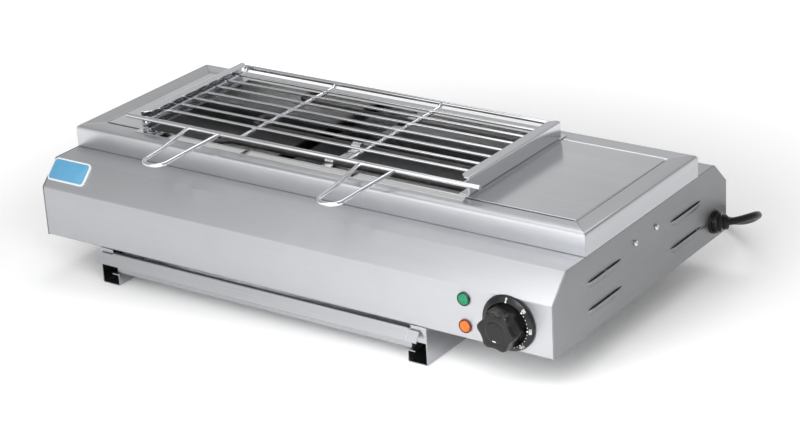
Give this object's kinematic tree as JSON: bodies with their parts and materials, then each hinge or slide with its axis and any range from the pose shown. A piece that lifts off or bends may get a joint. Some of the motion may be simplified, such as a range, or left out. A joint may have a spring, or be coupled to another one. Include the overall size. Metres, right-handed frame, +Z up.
{
  "type": "electric grill",
  "caption": "Countertop electric grill: folded steel casing on leg runners, sliding rod grate over hairpin heaters, sliding drip tray, thermostat knob and lamps.",
  "frame": {"origin": "middle of the bounding box of all pieces but the cord, at the worktop under the legs", "axes": "+X to the right seen from the front, along the casing; -Y to the front, where the knob and the grate's handles are; +Z up"},
  "size_m": [0.7263, 0.5559, 0.1805],
  "materials": {
    "casing_steel": "brushed",
    "frame_steel": "brushed",
    "deck_steel": "polished",
    "rail_steel": "polished",
    "wire_chrome": "bright",
    "heater_sheath": "dark oxide",
    "clamp_steel": "satin",
    "runner_steel": "satin",
    "tray_steel": "satin",
    "inner_steel": "mill",
    "phenolic": "matt",
    "bright_metal": "bright",
    "knob_black": "satin",
    "green_lens": "glossy",
    "orange_lens": "glossy",
    "holder_black": "matt",
    "cord_rubber": "matt",
    "plug_black": "satin"
  },
  "bodies": {
    "casing": {"front_panel": "casing_steel", "rear_panel": "casing_steel", "left_end_panel": "casing_steel", "right_end_panel": "casing_steel", "front_frame_strip": "frame_steel", "rear_frame_strip": "frame_steel", "left_frame_strip": "frame_steel", "right_frame_strip": "frame_steel", "left_deck_plate": "deck_steel", "right_deck_plate": "deck_steel", "well_liner": "deck_steel", "left_rail": "rail_steel", "right_rail": "rail_steel", "left_slide_strip": "rail_steel", "right_slide_strip": "rail_steel", "front_heater": "heater_sheath", "rear_heater": "heater_sheath", "heater_support_bar": "clamp_steel", "front_heater_clamp": "clamp_steel", "rear_heater_clamp": "clamp_steel", "left_leg_runner": "runner_steel", "right_leg_runner": "runner_steel", "control_partition": "inner_steel", "left_bottom_cover": "inner_steel", "right_bottom_cover": "inner_steel", "thermostat_body": "phenolic", "terminal_block": "phenolic", "left_front_screw": "bright_metal", "left_rear_screw": "bright_metal", "right_front_screw": "bright_metal", "right_rear_screw": "bright_metal", "green_lamp": "green_lens", "orange_lamp": "orange_lens", "green_lamp_holder": "holder_black", "orange_lamp_holder": "holder_black", "gland_nut": "holder_black", "gland": "cord_rubber", "power_cord": "cord_rubber", "cord_coil": "cord_rubber", "cord_tie": "cord_rubber", "plug": "plug_black"},
    "grate": {"grate": "wire_chrome", "left_handle": "wire_chrome", "right_handle": "wire_chrome"},
    "drip_tray": {"drip_tray": "tray_steel"},
    "knob": {"knob": "knob_black", "thermostat_shaft": "bright_metal"}
  },
  "joints": [
    {"name": "grate_slide", "type": "slide", "parent": "casing", "child": "grate", "axis": [0, -1, 0], "range_m": [0, 0.18]},
    {"name": "drip_tray_slide", "type": "slide", "parent": "casing", "child": "drip_tray", "axis": [0, -1, 0], "range_m": [0, 0.33]},
    {"name": "knob_turn", "type": "hinge", "parent": "casing", "child": "knob", "pos_m": [0.293, -0.1725, 0.0762], "axis": [0, 1, 0], "range_deg": [0, 280]}
  ]
}
